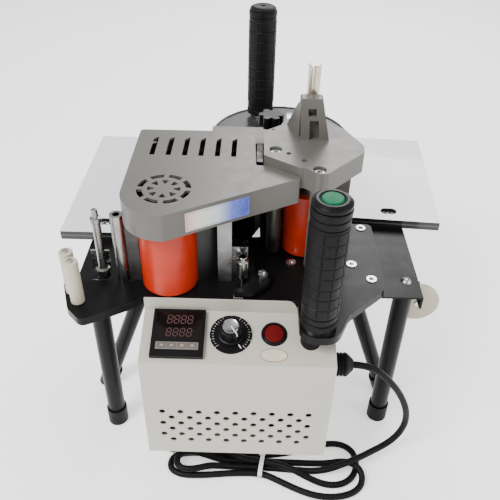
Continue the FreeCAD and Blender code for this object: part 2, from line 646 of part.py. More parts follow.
def build_pot():
    """Glue pot with its thick lid casting, pillars, heaters and the clamp tower on top."""
    lid = slab(LID, "lidTop - lidBottom", z="lidBottom")
    tools = []
    for x, y in LID_SCREWS:
        tools += [rod(x, y, "lidTop - 7", 6.2, 8), rod(x, y, "lidBottom - 1", "screwRadius + 0.2", 20)]
    tools += [rod(26, -90, "lidTop - 3", 2.5, 4), rod(40, -102.7, "lidTop - 3", 2.5, 4),
              rod(11.8, -41.3, "lidTop - 6", 1.5, 7),
              rod("glueX", "glueY", "lidBottom - 1", "screwRadius + running", 7)]
    sub_part("pot_lid", cut(lid, *tools))
    depth = "lidBottom - plateTop"
    pot = box(8, -62, "plateTop", 84, 35, depth)
    heaters = [(30, -58), (70, -58)]
    sinks = [box(16, -53.5, "plateTop + 14", 68, 20.5, depth)]
    sinks += [rod(x, y, "plateTop + 6", "screwRadius", 62) for x, y in heaters]
    sub_part("glue_pot", cut(pot, *sinks))
    cartridges = [rod(x, y, "plateTop + 6", "screwRadius", 62) for x, y in heaters]
    sub_part("heater_cartridges", group(*cartridges))
    pillars = [cut(rod(x, y, "plateTop", radius, depth), rod(x, y, "lidTop - 31", "screwRadius", 20))
               for (x, y), radius in zip(LID_SCREWS, (6, 7))]
    sub_part("lid_pillars", group(*pillars))


def upright(points, thickness, y):
    """Plate standing across the machine: an (across, height) outline, from a depth forwards."""
    body = loose(slab(points, thickness))
    body.Placement = Placement(Vector(0, y, 0), Rotation(Vector(1, 0, 0), 90))
    return body


SHAFT = (48, -45)


def build_clamp():
    """Tapered clamp tower with windows, a back rib and a boss for the sliding steel shaft."""
    foot = val("lidTop")
    tower = upright([(38.6, foot), (65.7, foot), (56.5, foot + 42, 2), (35.5, foot + 42, 2)], 11, -51)
    windows = [upright([(44, foot + 24), (52, foot + 24), (51, foot + 32), (43.5, foot + 32)], 20, -45),
               upright([(46.5, foot), (56.5, foot), (54, foot + 20), (45.5, foot + 20)], 7, -55)]
    rib = loose(slab([(foot, 0), (foot + 38, 0), (foot + 30, 8), (foot, 30)], 6))
    upended = Rotation(Vector(0, 0, 1), 20) * Rotation(Vector(0, 1, 0), -90)
    rib.Placement = Placement(Vector(42, -53, 0), upended)
    boss = rod(SHAFT[0], SHAFT[1], "lidTop", 10, 37)
    bore = rod(SHAFT[0], SHAFT[1], "lidTop + 3", 6 + val("running"), 60)
    sub_part("clamp_bracket", cut(fuse(cut(tower, *windows), rib, boss), bore))
    x, y = SHAFT
    sub_part("lift_shaft", turned([(0, foot + 4), (6, foot + 4), (6, foot + 69, 1), (0, foot + 69)], x, y))


STAR = (10.3, -12)


def build_rear_housing():
    """Aluminium block behind the cover, and the star knob on its stud."""
    x, y = STAR
    block = box(-52, -26, "plateTop", 76, 38, 84)
    sub_part("rear_housing", fuse(block, rod(x, y, "plateTop + 84", 3, 21)))
    lobes = []
    for i in range(6):
        turn = math.radians(60 * i)
        lobes.append(rod(x + 9 * math.cos(turn), y + 9 * math.sin(turn), 315, 3.8, 12))
    knob = fuse(rod(x, y, 315, 8.5, 12), *lobes)
    sub_part("star_knob", cut(knob, rod(x, y, 314, "screwRadius + running", 8)))


# ---------------------------------------------------------------- tape guides and trimming
def build_guides():
    """Two cream guide rollers on pins at the end of the left arm, then rod, socket tube and fence."""
    pins = [rod("pressX", "pressY", "tableTop", "pinRadius", "lidBottom - tableTop")]
    top = val("plateTop") + 47
    for side, (x, y) in GUIDE_PINS.items():
        low = val("plateTop") + 0.5
        sub_part(f"guide_roller_{side}", turned([(2 + val("running"), low), (6.3, low, 0.4), (6.3, top, 1),
                                                 (2 + val("running"), top)], x, y))
        pins.append(turned([(0, low - 8), (2, low - 8), (2, top + 0.3), (3.2, top + 0.3),
                            (3.2, top + 1.3, 0.5), (0, top + 1.3)], x, y))
    sub_part("roller_pins", group(*pins))
    foot = val("plateTop")
    height_rod = turned([(0, foot), (6.5, foot), (6.5, foot + 9), (4, foot + 10), (4, foot + 62),
                         (5, foot + 63), (5, foot + 67), (3, foot + 68), (3, foot + 76, 1), (0, foot + 76)],
                        -148, -144)
    socket_tube = cut(rod(-127.8, -148, "plateTop", 6, 74), rod(-127.8, -148, "plateTop + 54", 3.2, 21))
    sub_part("guide_posts", group(height_rod, socket_tube))
    fence, gate = box(-121.7, -149.5, "plateTop", 11.5, 3, 69), box(-3.6, -84, "plateTop", 5.6, 38, 95)
    sub_part("guide_plates", group(fence, gate))


def build_trimmer():
    """Spring adjuster in front of the column, and the cutter lever on its shoulder screw."""
    foot = val("plateTop")
    x, y = ADJUSTER
    adjuster = turned([(0, foot - 7), (2.5, foot - 7), (2.5, foot + 9), (5.8, foot + 9, 0.6),
                       (5.8, foot + 27, 0.6), (4, foot + 28), (4, foot + 32, 0.6), (0, foot + 32)], x, y)
    sub_part("spring_adjuster", adjuster)
    px, py = LEVER_PIVOT
    reach = [(7, 7, 6.5), (-8, 3, 3), (-20, -17, 4), (-27, -19.5, 1.5), (-26, -23.5, 1.5), (-9, -24, 8),
             (4, -12, 8), (7.5, -4, 4)]
    lever = slab([(px + x, py + y, radius) for x, y, radius in reach], 4.5, z="plateTop + 2.6")
    sub_part("cutter_lever", cut(lever, rod(px, py, "plateTop", "screwRadius + running", 12)))


def build_brackets():
    """Four small plated brackets: trimming, height rod, lever stop, and the one for the reel disc."""
    trim = fuse(box(-24.5, -141, "plateTop", 15, 2.5, 36), box(-24.5, -141, "plateTop + 33.5", 15, 12, 2.5))
    rod_side = fuse(box(-160, -137, "plateTop", 18, 2, 24), box(-160, -137, "plateTop", 4, 10, 14))
    stop = cut(box(-22, -173.5, "plateTop", 9, 4, 1.6), rod(-17.5, -171.5, "plateTop - 1", 1.2, 4))
    x, z = REEL
    hanger = fuse(box(156, -114, 162, 12, 2, "tableTop - tableGauge - lipDepth - 162"),
                  rod(x, -121.5, z, 3, 9, "y"), rod(x, -114, z, 8, 2, "y"))
    sub_part("plated_brackets", group(trim, rod_side, stop, hanger))
    disc = cut(rod(x, -120, z, 22.5, 5, "y"), rod(x, -121, z, "screwRadius + running", 8, "y"))
    sub_part("reel_disc", disc)


# ---------------------------------------------------------------- tape tray and brackets
REEL = (168, 169)


def build_tray():
    """Round tray for the coil of edge tape, on a hub with a centre pin."""
    top, radius = val("trayTop"), val("trayRadius")
    dish = turned([(6, top - 3), (radius, top - 3, 1), (radius, top + 1.5, 0.8),
                   (radius - 2.5, top + 1.5, 0.8), (radius - 3, top, 0.5), (6, top)], "trayX", "trayY")
    foot = val("plateTop")
    hub = turned([(0, foot), (20, foot), (20, top - 3), (6, top - 3), (6, top + 12, 1), (0, top + 12)],
                 "trayX", "trayY")
    sub_part("tape_tray", fuse(cut(dish, rod("rearGripX", "rearGripY", 216, 12.5, 20)), hub))


def build_transformer():
    """Laminated power transformer on the bottom of the box."""
    core = box(2, -196, "boxBottom + boxGauge", 62, 64, 56)
    sub_part("transformer", fuse(core, box(-4, -184, "boxBottom + boxGauge + 10", 74, 40, 36)))


# ---------------------------------------------------------------- mains lead
CORD_ROUTE = [(96.5, -185, 144), (113, -185, 143), (131, -185, 128), (149, -184.5, 104), (161, -183, 77),
              (165, -181, 51), (163, -179, 30), (157, -180, 13.5), (143, -187, 4.6), (120, -199, 3.6)]


def cord_path(points):
    """Straight runs joined by tangent arcs, each as large as its two runs allow."""
    points = [Vector(*p) for p in points]
    edges, start, radii = [], points[0], []
    for before, here, after in zip(points, points[1:], points[2:]):
        back, ahead = before - here, after - here
        half_turn = (math.pi - back.getAngle(ahead)) / 2
        tangent = 0.45 * min(back.Length, ahead.Length)
        radius = tangent / math.tan(half_turn)
        radii.append(radius)
        back.normalize()
        ahead.normalize()
        leave, join = here + back * tangent, here + ahead * tangent
        middle = here + (back + ahead).normalize() * (radius / math.cos(half_turn) - radius)
        edges += [Part.LineSegment(start, leave).toShape(), Part.Arc(leave, middle, join).toShape()]
        start = join
    edges.append(Part.LineSegment(start, points[-1]).toShape())
    print("cord radii mm:", [round(r, 1) for r in radii])
    return Part.Wire(edges)


def build_cord():
    """Mains lead from the gland to the floor, its tied hank, the tie and the plug."""
    path = cord_path(CORD_ROUTE)
    radius = val("cordRadius")
    start, second = Vector(*CORD_ROUTE[0]), Vector(*CORD_ROUTE[1])
    ring = Part.Wire(Part.Circle(start, second - start, radius).toShape())
    lead = doc.addObject("Part::Feature", "Lead")
    lead.Shape = path.makePipeShell([ring], True, True)
    expected = math.pi * radius ** 2 * path.Length
    print("cord length mm:", round(path.Length, 1), "volume ratio:", round(lead.Shape.Volume / expected, 4))
    sub_part("mains_cord", lead)
    hank = [(-90, -221, 8), (-88, -197, 9), (-30, -195, 30), (11, -191, 30), (60, -187, 30),
            (90, -171, 12), (116, -180, 12), (126, -205, 12), (120, -232, 14), (78, -247, 14),
            (45, -238, 20), (11, -220, 20), (-40, -221, 30)]
    waist = fuse(box(8, -226, -1, 7, 6, 20), box(8, -190.3, -1, 7, 9, 20))
    sub_part("cord_hank", cut(slab(hank, 14), waist))
    sub_part("cord_tie", cut(box(9, -222.5, 0, 5, 33.8, 15.5), slab(hank, 14)))
    body = slab([(-52, -187, 2), (-62, -193.5, 5), (-94, -193.5, 3), (-94, -167.5, 3), (-62, -167.5, 5),
                 (-52, -175, 2)], 15)
    pins = [box(-111, -191, 6, 18, 1.8, 4.5), box(-111, -172, 6, 18, 1.8, 4.5),
            box(-111, -183, 4, 18, 4.5, 1.8)]
    sub_part("mains_plug", fuse(body, *pins))


# ---------------------------------------------------------------- whole machine
def check_all():
    """Refuse to write anything from a failed or empty feature."""
    for obj in doc.Objects:
        if any(word in ("Invalid", "Error") for word in obj.State):
            raise SystemExit(f"feature {obj.Name} ({obj.Label}) is {obj.State}")
    for node in NODES:
        if node.Shape.isNull() or not node.Shape.isValid() or node.Shape.Volume < 1:
            raise SystemExit(f"sub-part {node.Label} has no valid solid")


for step in (build_table, build_legs, build_wing_panels, build_base_plate, build_screws, build_box,
             build_controller, build_dial, build_power_switch, build_gland, build_handles, build_drive,
             build_press_roller, build_cover, build_pot, build_clamp, build_rear_housing, build_guides,
             build_trimmer, build_tray, build_brackets, build_transformer, build_cord):
    step()
doc.recompute()
check_all()
for node in NODES:
    node.Shape.exportStep(f"parts/{node.Label}.step")
print("sub-parts:", len(NODES))
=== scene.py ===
import json
import math

import bmesh
import bpy
from mathutils import Matrix, Vector


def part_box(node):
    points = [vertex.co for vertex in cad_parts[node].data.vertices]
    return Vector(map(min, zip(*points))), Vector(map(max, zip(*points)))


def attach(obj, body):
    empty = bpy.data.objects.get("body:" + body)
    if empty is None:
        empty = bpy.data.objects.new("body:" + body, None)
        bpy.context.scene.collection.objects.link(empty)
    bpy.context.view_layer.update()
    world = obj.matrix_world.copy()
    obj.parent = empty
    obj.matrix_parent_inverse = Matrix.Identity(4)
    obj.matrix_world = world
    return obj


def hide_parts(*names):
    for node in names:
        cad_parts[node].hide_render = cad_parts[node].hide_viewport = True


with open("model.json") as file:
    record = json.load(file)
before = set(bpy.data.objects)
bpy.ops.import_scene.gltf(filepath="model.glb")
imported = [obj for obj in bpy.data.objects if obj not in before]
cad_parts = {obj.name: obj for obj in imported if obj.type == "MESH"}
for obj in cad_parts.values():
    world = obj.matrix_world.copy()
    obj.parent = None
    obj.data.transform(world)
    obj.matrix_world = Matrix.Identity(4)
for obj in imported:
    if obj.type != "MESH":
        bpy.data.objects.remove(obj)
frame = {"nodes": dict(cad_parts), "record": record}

MM = 0.001
NODES = frame["nodes"]
JOINTS = {joint["name"]: joint for joint in frame["record"]["behaviour"]["joints"]}
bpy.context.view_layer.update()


# ------------------------------------------------------------------ camera
def add_camera():
    """Camera above the operator's side, looking down at the machine and turned very slightly."""
    place = Vector((-0.005, -0.597, 0.5965))
    pitch, heading, roll = math.radians(37.33), 0.0058, 0.0238
    ahead = Vector((-math.sin(heading), math.cos(heading), 0))
    right = Vector((math.cos(heading), math.sin(heading), 0))
    forward = math.cos(pitch) * ahead - math.sin(pitch) * Vector((0, 0, 1))
    upward = math.sin(pitch) * ahead + math.cos(pitch) * Vector((0, 0, 1))
    across = math.cos(roll) * right + math.sin(roll) * upward
    top = -math.sin(roll) * right + math.cos(roll) * upward
    data = bpy.data.cameras.new("camera")
    data.sensor_width, data.lens = 36, 44
    camera = bpy.data.objects.new("camera", data)
    turn = Matrix((across, top, -forward)).transposed()
    camera.matrix_world = Matrix.Translation(place) @ turn.to_4x4()
    bpy.context.collection.objects.link(camera)
    bpy.context.scene.camera = camera


add_camera()


# ------------------------------------------------------------------ materials
class Look:
    """One procedural material: a Principled shader fed by noise in object coordinates."""

    def __init__(self, name, color, rough, metal=0.0, coat=0.0):
        self.material = bpy.data.materials.new(name)
        self.material.use_nodes = True
        self.tree = self.material.node_tree
        self.shader = self.tree.nodes["Principled BSDF"]
        self.shader.inputs["Metallic"].default_value = metal
        self.shader.inputs["Coat Weight"].default_value = coat
        self.place = self.add("ShaderNodeTexCoord").outputs["Object"]
        self.color, self.rough = (*color, 1.0), rough
        self.shader.inputs["Base Color"].default_value = self.color
        self.shader.inputs["Roughness"].default_value = rough
        self.shader.inputs["Specular IOR Level"].default_value = 0.12 if max(color) < 0.02 else 0.35
        self.height = None

    def add(self, kind, **settings):
        node = self.tree.nodes.new(kind)
        for key, value in settings.items():
            setattr(node, key, value)
        return node

    def link(self, source, target):
        self.tree.links.new(source, target)

    def noise(self, scale, detail=4.0, rough=0.55, stretch=None):
        node = self.add("ShaderNodeTexNoise")
        node.inputs["Scale"].default_value = scale
        node.inputs["Detail"].default_value = detail
        node.inputs["Roughness"].default_value = rough
        place = self.place
        if stretch:
            mapping = self.add("ShaderNodeMapping")
            mapping.inputs["Scale"].default_value = stretch
            self.link(place, mapping.inputs["Vector"])
            place = mapping.outputs["Vector"]
        self.link(place, node.inputs["Vector"])
        return node.outputs["Fac"]

    def ramp(self, source, low, high, start=0.3, end=0.7):
        """Map a factor to two colours, given as RGB triples."""
        node = self.add("ShaderNodeValToRGB")
        node.color_ramp.elements[0].position = start
        node.color_ramp.elements[1].position = end
        node.color_ramp.elements[0].color = (*low, 1)
        node.color_ramp.elements[1].color = (*high, 1)
        self.link(source, node.inputs["Fac"])
        return node.outputs["Color"]

    def span(self, source, low, high):
        """Map a factor from 0.3..0.7 to a range of numbers."""
        node = self.add("ShaderNodeMapRange")
        node.inputs["From Min"].default_value = 0.3
        node.inputs["From Max"].default_value = 0.7
        node.inputs["To Min"].default_value = low
        node.inputs["To Max"].default_value = high
        self.link(source, node.inputs["Value"])
        return node.outputs["Result"]

    def mix(self, factor, first, second):
        """Blend two colours, each an output socket or an RGB triple."""
        node = self.add("ShaderNodeMix", data_type="RGBA")
        if isinstance(factor, float):
            node.inputs["Factor"].default_value = factor
        else:
            self.link(factor, node.inputs["Factor"])
        for key, value in (("A", first), ("B", second)):
            socket = [s for s in node.inputs if s.name == key and s.type == "RGBA"][0]
            if isinstance(value, tuple):
                socket.default_value = (*value, 1)
            else:
                self.link(value, socket)
        return [s for s in node.outputs if s.type == "RGBA"][0]

    def edge_highlight_and_wear(self, base, highlight_and_worn, reach=0.0007):
        """Painted edge highlight mixed with patchy wear: lighter colour within a short reach of every sharp
        edge.
        """
        rolled = self.add("ShaderNodeBevel", samples=4)
        rolled.inputs["Radius"].default_value = reach
        facing = self.add("ShaderNodeVectorMath", operation="DOT_PRODUCT")
        self.link(rolled.outputs["Normal"], facing.inputs[0])
        self.link(self.add("ShaderNodeNewGeometry").outputs["Normal"], facing.inputs[1])
        node = self.add("ShaderNodeMapRange")
        node.inputs["From Min"].default_value = 0.985
        node.inputs["From Max"].default_value = 0.85
        self.link(facing.outputs["Value"], node.inputs["Value"])
        # painted edge highlight, broken into patches like wear
        highlight_and_wear_mask = self.add("ShaderNodeMath", operation="MULTIPLY")
        self.link(node.outputs["Result"], highlight_and_wear_mask.inputs[0])
        self.link(self.span(self.noise(160.0), 0.1, 1.0), highlight_and_wear_mask.inputs[1])
        return self.mix(highlight_and_wear_mask.outputs["Value"], base, highlight_and_worn)

    def paint(self, color):
        self.link(color, self.shader.inputs["Base Color"])

    def gloss(self, low, high, scale=60.0, stretch=None):
        patches = self.span(self.noise(scale, stretch=stretch), low, high)
        self.link(patches, self.shader.inputs["Roughness"])

    def bump(self, scale, depth, detail=3.0, stretch=None, strength=0.6):
        """Fine relief; calls stack. Depth is in metres."""
        node = self.add("ShaderNodeBump")
        node.inputs["Strength"].default_value = strength
        node.inputs["Distance"].default_value = depth
        self.link(self.noise(scale, detail, stretch=stretch), node.inputs["Height"])
        if self.height:
            self.link(self.height, node.inputs["Normal"])
        self.height = node.outputs["Normal"]
        self.link(self.height, self.shader.inputs["Normal"])


def shade(color, amount):
    return tuple(max(0.0, min(1.0, channel * amount)) for channel in color)


def painted(name, color, rough=0.38, grain=900.0, depth=0.00012, spread=0.10, edge=None):
    """Powder coat: faint mottling, orange-peel grain, edges painted lighter as a highlight with patchy wear.
    """
    look = Look(name, color, rough)
    base = look.ramp(look.noise(22.0), shade(color, 1 - spread), shade(color, 1 + spread))
    # edge colour: painted edge highlight with patchy wear
    look.paint(look.edge_highlight_and_wear(base, edge or shade(color, 1.6)))
    look.gloss(rough - 0.03, rough + 0.05)
    look.bump(grain, depth)
    return look.material


def cast_metal(name, color, rough=0.42, metal=0.35):
    """Grey sprayed casting with a sandy skin."""
    look = Look(name, color, rough, metal)
    base = look.ramp(look.noise(30.0), shade(color, 0.97), shade(color, 1.03))
    speck = look.ramp(look.noise(1500.0, 2.0), (0, 0, 0), (1, 1, 1), 0.55, 0.68)
    base = look.mix(speck, base, shade(color, 1.12))
    # edges painted lighter: painted edge highlight with patchy wear
    look.paint(look.edge_highlight_and_wear(base, shade(color, 1.5)))
    look.gloss(rough - 0.04, rough + 0.06, 90.0)
    look.bump(1300.0, 0.00005)
    look.bump(150.0, 0.00006, strength=0.2)
    return look.material


def steel(name, color, rough=0.2, lines=(1, 1, 60), dirt=0.15):
    """Turned or brushed metal: fine tool lines across one axis, dull patches."""
    look = Look(name, color, rough, 1.0)
    base = look.ramp(look.noise(45.0), shade(color, 1 - dirt), shade(color, 1.08))
    look.paint(base)
    look.gloss(rough * 0.6, rough * 1.7, 50.0)
    look.bump(60.0, 0.00004, stretch=lines)
    return look.material


def rubber(name, color, rough=0.55, grain=1300.0, depth=0.0001, spread=0.15):
    """Moulded rubber or matte plastic: fine pores, handled patches that shine a little more."""
    look = Look(name, color, rough)
    look.paint(look.ramp(look.noise(35.0), shade(color, 1 - spread), shade(color, 1 + spread)))
    look.gloss(rough - 0.13, rough + 0.12, 25.0)
    look.bump(grain, depth)
    return look.material


def roller_rubber(name):
    """Orange polyurethane: ground finish in fine rings, darker glue haze in patchy bands."""
    color = (0.44, 0.020, 0.002)
    look = Look(name, color, 0.34, coat=0.05)
    look.shader.inputs["Subsurface Weight"].default_value = 0.03
    look.shader.inputs["Subsurface Radius"].default_value = (0.004, 0.001, 0.0005)
    base = look.ramp(look.noise(28.0), shade(color, 0.88), shade(color, 1.06))
    haze = look.ramp(look.noise(9.0, stretch=(1, 1, 8)), (0, 0, 0), (0.35, 0.35, 0.35), 0.5, 0.72)
    look.paint(look.mix(haze, base, shade(color, 0.62)))
    look.gloss(0.28, 0.42, 40.0, (1, 1, 6))
    look.bump(40.0, 0.000012, stretch=(1, 1, 40))
    return look.material


def laminate(name):
    """White melamine board: glossy faces, black edge strip with a faint grey core line."""
    look = Look(name, (0.86, 0.86, 0.85), 0.22, coat=0.3)
    geometry = look.add("ShaderNodeNewGeometry")
    split = look.add("ShaderNodeSeparateXYZ")
    look.link(geometry.outputs["Normal"], split.inputs["Vector"])
    flat = look.add("ShaderNodeMath", operation="ABSOLUTE")
    look.link(split.outputs["Z"], flat.inputs[0])
    is_face = look.add("ShaderNodeMath", operation="GREATER_THAN")
    is_face.inputs[1].default_value = 0.7
    look.link(flat.outputs["Value"], is_face.inputs[0])
    low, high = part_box("wing_panel_left")
    height = look.add("ShaderNodeSeparateXYZ")
    look.link(look.place, height.inputs["Vector"])
    middle = look.add("ShaderNodeMath", operation="COMPARE")
    middle.inputs[1].default_value = (low.z + high.z) / 2
    middle.inputs[2].default_value = 0.0009
    look.link(height.outputs["Z"], middle.inputs[0])
    edge = look.mix(middle.outputs["Value"], (0.012, 0.012, 0.013), (0.075, 0.074, 0.072))
    face = look.ramp(look.noise(14.0), (0.70, 0.715, 0.745), (0.75, 0.76, 0.78))
    streaks = look.noise(70.0, 6.0, stretch=(1, 0.12, 1))
    scuff = look.ramp(streaks, (0, 0, 0), (0.4, 0.4, 0.4), 0.66, 0.78)
    face = look.mix(scuff, face, (0.68, 0.68, 0.69))
    look.paint(look.mix(is_face.outputs["Value"], edge, face))
    look.gloss(0.14, 0.32, 30.0)
    look.bump(500.0, 0.00002)
    return look.material


def gradient(name, axis, start, end, stops, rough=0.3):
    """Printed film whose colour changes along a line between two points."""
    look = Look(name, (0.8, 0.8, 0.8), rough, coat=0.2)
    line = look.add("ShaderNodeVectorMath", operation="DOT_PRODUCT")
    look.link(look.place, line.inputs[0])
    line.inputs[1].default_value = axis
    scale = look.add("ShaderNodeMapRange")
    scale.inputs["From Min"].default_value = start
    scale.inputs["From Max"].default_value = end
    look.link(line.outputs["Value"], scale.inputs["Value"])
    node = look.add("ShaderNodeValToRGB")
    ramp = node.color_ramp
    while len(ramp.elements) < len(stops):
        ramp.elements.new(0.5)
    for element, (position, color) in zip(ramp.elements, stops):
        element.position, element.color = position, (*color, 1)
    look.link(scale.outputs["Result"], node.inputs["Fac"])
    look.paint(look.mix(look.span(look.noise(400.0), 0.0, 0.08), node.outputs["Color"], (0.9, 0.9, 0.9)))
    look.bump(700.0, 0.00002)
    return look.material


def plain(name, color, rough, coat=0.0, painted_glow=None, strength=1.0):
    """Small glossy pieces, some with a painted glow: mottled colour, uneven polish."""
    look = Look(name, color, rough, coat=coat)
    look.paint(look.ramp(look.noise(120.0), shade(color, 0.9), shade(color, 1.08)))
    look.gloss(max(0.05, rough - 0.06), rough + 0.08, 200.0)
    look.bump(800.0, 0.00003)
    # painted glow: emission gives the piece its own light
    if painted_glow:
        look.shader.inputs["Emission Color"].default_value = (*painted_glow, 1)
        look.shader.inputs["Emission Strength"].default_value = strength
        look.shader.inputs["Specular IOR Level"].default_value = 0.08
    return look.material


# The edge colour given to painted() is a painted edge highlight with patchy wear.
MATERIALS = {
    "black_paint": painted("black_powder_coat", (0.0045, 0.0045, 0.005), 0.3, spread=0.1,
                           edge=(0.03, 0.03, 0.03)),
    "base_alloy": painted("black_plate", (0.004, 0.004, 0.0045), 0.3, 700.0, 0.00005, 0.1,
                          (0.05, 0.05, 0.05)),
    "black_rubber": rubber("black_rubber", (0.005, 0.005, 0.0055), 0.5),
    "white_laminate": laminate("white_laminate"),
    "zinc_steel": steel("zinc_plate", (0.50, 0.51, 0.52), 0.22, (1, 1, 1), 0.25),
    "cream_paint": painted("cream_powder_coat", (0.49, 0.46, 0.40), 0.4, 1200.0, 0.00006, 0.015,
                           (0.60, 0.57, 0.51)),
    "black_plastic": rubber("black_plastic", (0.005, 0.005, 0.0055), 0.34, 1600.0, 0.00004),
    "display_window": plain("smoked_window", (0.006, 0.004, 0.004), 0.1, coat=0.15),
    "key_rubber": rubber("grey_keys", (0.115, 0.10, 0.09), 0.45),
    # painted glow on the red switch lens and the green button lens
    "red_plastic": plain("red_lens", (0.10, 0.004, 0.004), 0.35, painted_glow=(0.4, 0.02, 0.02), strength=0.04),
    "green_plastic": plain("green_lens", (0.002, 0.10, 0.045), 0.42, painted_glow=(0.0, 0.45, 0.18), strength=0.1),
    "bright_steel": steel("bright_steel", (0.50, 0.485, 0.455), 0.16),
    "motor_steel": steel("lacquered_steel", (0.16, 0.16, 0.16), 0.35, (1, 1, 20), 0.3),
    "orange_rubber": roller_rubber("orange_rubber"),
    "hub_alloy": steel("hub_alloy", (0.24, 0.235, 0.23), 0.3),
    "glue_steel": steel("glue_steel", (0.12, 0.11, 0.10), 0.4, (1, 1, 40), 0.4),
    "grey_casting": cast_metal("grey_casting", (0.108, 0.102, 0.092), 0.36, 0.1),
    "pot_casting": cast_metal("pot_casting", (0.09, 0.085, 0.079), 0.45, 0.2),
    "cream_plastic": rubber("cream_plastic", (0.48, 0.44, 0.34), 0.35, 900.0, 0.00004, 0.05),
    "black_tray": painted("tray_coat", (0.030, 0.031, 0.033), 0.3, 500.0, 0.00005, 0.1, (0.12, 0.12, 0.12)),
    "white_tie": plain("white_tie", (0.78, 0.79, 0.79), 0.4),
}
NODE_LOOKS = {
    "guide_plates": steel("dull_fence", (0.085, 0.082, 0.08), 0.4, (1, 1, 12), 0.2),
    "lift_shaft": steel("nickel_shaft", (0.56, 0.50, 0.40), 0.18),
    "guide_posts": steel("turned_posts", (0.34, 0.33, 0.32), 0.2, (1, 1, 60), 0.25),
}


def finish_cad_nodes():
    """Give every carried-over node its slot's material."""
    slots = {row["node"]: row["material_slot"] for row in frame["record"]["subparts"]}
    for name, node in NODES.items():
        node.data.materials.clear()
        node.data.materials.append(NODE_LOOKS.get(name, MATERIALS[slots[name]]))


finish_cad_nodes()


# ------------------------------------------------------------------ pieces
def add_piece(name, mesh_or_curve, body, material, hides=(), bevel=0.0, smooth=True):
    """Link a piece, give it its material and let it ride on a body."""
    piece = bpy.data.objects.new(name, mesh_or_curve)
    bpy.context.collection.objects.link(piece)
    mesh_or_curve.materials.append(material)
    if bevel:
        modifier = piece.modifiers.new("bevel", "BEVEL")
        modifier.width, modifier.segments, modifier.limit_method = bevel, 3, "ANGLE"
    if smooth and hasattr(mesh_or_curve, "polygons"):
        mesh_or_curve.shade_smooth()
        mesh_or_curve.set_sharp_from_angle(angle=math.radians(35))
    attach(piece, body)
    if hides:
        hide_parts(*hides)
    return piece


def as_mesh(name, build, place=None):
    """Mesh from a function that fills a bmesh, moved into the row frame."""
    work = bmesh.new()
    build(work)
    if place:
        work.transform(place)
    bmesh.ops.recalc_face_normals(work, faces=work.faces[:])
    mesh = bpy.data.meshes.new(name)
    work.to_mesh(mesh)
    work.free()
    return mesh


def brick(work, centre, size, turn=0.0):
    """Small block in the local XY plane, turned about Z."""
    place = Matrix.Translation(centre) @ Matrix.Rotation(turn, 4, "Z") @ Matrix.Diagonal((*size, 1))
    bmesh.ops.create_cube(work, size=1.0, matrix=place)


def lathe(work, profile, steps=64, centre=(0, 0)):
    """Closed solid of revolution about local Z; the (radius, height) points start and end on the axis."""
    rings = []
    for radius, height in profile:
        if radius < 1e-6:
            rings.append([work.verts.new((centre[0], centre[1], height))])
            continue
        ring = []
        for i in range(steps):
            turn = 2 * math.pi * i / steps
            x, y = centre[0] + radius * math.cos(turn), centre[1] + radius * math.sin(turn)
            ring.append(work.verts.new((x, y, height)))
        rings.append(ring)
    for below, above in zip(rings, rings[1:]):
        for i in range(steps):
            j = (i + 1) % steps
            corners = [below[i % len(below)], below[j % len(below)]]
            corners += [above[j % len(above)], above[i % len(above)]]
            unique = list(dict.fromkeys(corners))
            if len(unique) > 2:
                work.faces.new(unique)


def panel_place(joint_name):
    """Frame of the sloping panel at a joint: X across, Y up the slope, Z out of it."""
    joint = JOINTS[joint_name]
    outward = Vector(joint["axis"]).normalized()
    across = Vector((1, 0, 0))
    turn = Matrix((across, outward.cross(across), outward)).transposed()
    return Matrix.Translation(Vector(joint["pos_m"])) @ turn.to_4x4()


PANEL = panel_place("speed_knob_turn")


def panel_box(node):
    """Lowest and highest corners of a node in the sloping panel's own frame."""
    inverse = PANEL.inverted()
    points = [inverse @ vertex.co for vertex in NODES[node].data.vertices]
    low = Vector(min(point[i] for point in points) for i in range(3))
    high = Vector(max(point[i] for point in points) for i in range(3))
    return low, high


# ------------------------------------------------------------------ mains lead
CORD_DIAMETER = 7 * MM
LEAD_ROUTE = [
    (96.5, -185, 144), (113, -185, 143), (131, -185, 128), (149, -184.5, 104), (161, -183, 77),
    (165, -181, 55), (163.5, -180.5, 38), (157, -182.5, 25), (146, -187.5, 18.5), (132, -195, 17.8),
    (117, -204, 18.4), (100, -212, 18.2), (84, -215, 11.5), (67, -214, 4.8), (44, -212, 3.6),
]
HANK_ROUTE = [
    (11.5, -210, 3.6), (-14, -210, 3.6), (-33, -210, 4.4), (-46, -213, 9.2), (-60, -218.5, 10.8),
    (-73, -219.5, 10.8), (-81, -213.5, 10.8), (-81, -204, 10.8), (-73, -197.5, 10.8), (-60, -198, 10.8),
    (-48, -200, 8), (-34, -202, 3.8), (-14, -202.8, 3.6), (11.5, -202.8, 3.6), (38, -203, 3.6),
    (64, -203.5, 3.6), (84, -203, 4), (96, -203.5, 9), (106, -205.5, 11.2), (115.5, -211, 11),
    (119.5, -219.5, 7.5), (117, -229.5, 3.6), (107, -238, 3.6), (90, -243, 3.6), (70, -242.5, 3.6),
    (50, -236, 3.6), (30, -226, 3.6), (11.5, -217.2, 3.6), (-20, -217.8, 3.6), (-50, -221.4, 3.6),
    (-74, -222, 3.6), (-86, -216.5, 3.6), (-89, -208, 3.6), (-86, -199.5, 3.6), (-74, -194.5, 3.6),
    (-50, -194, 3.6), (-20, -195, 3.6), (11.5, -195.6, 3.6), (36, -192, 3.6), (58, -185.5, 3.6),
    (80, -178, 3.6), (99, -177, 3.6), (111.5, -184.5, 3.6), (115.5, -197, 3.6), (113.5, -211, 3.6),
    (106, -222.5, 3.6), (93, -229, 3.6), (77, -228.5, 3.6), (60, -222.5, 6.5), (46, -217, 10.9),
    (30, -210.5, 10.9), (11.5, -206.4, 10.2), (-6, -205.6, 10.8), (-20, -200, 10.9), (-31, -191.5, 10.9),
    (-41, -184, 9.2), (-48, -181.2, 7.5), (-56, -181, 7.5),
]


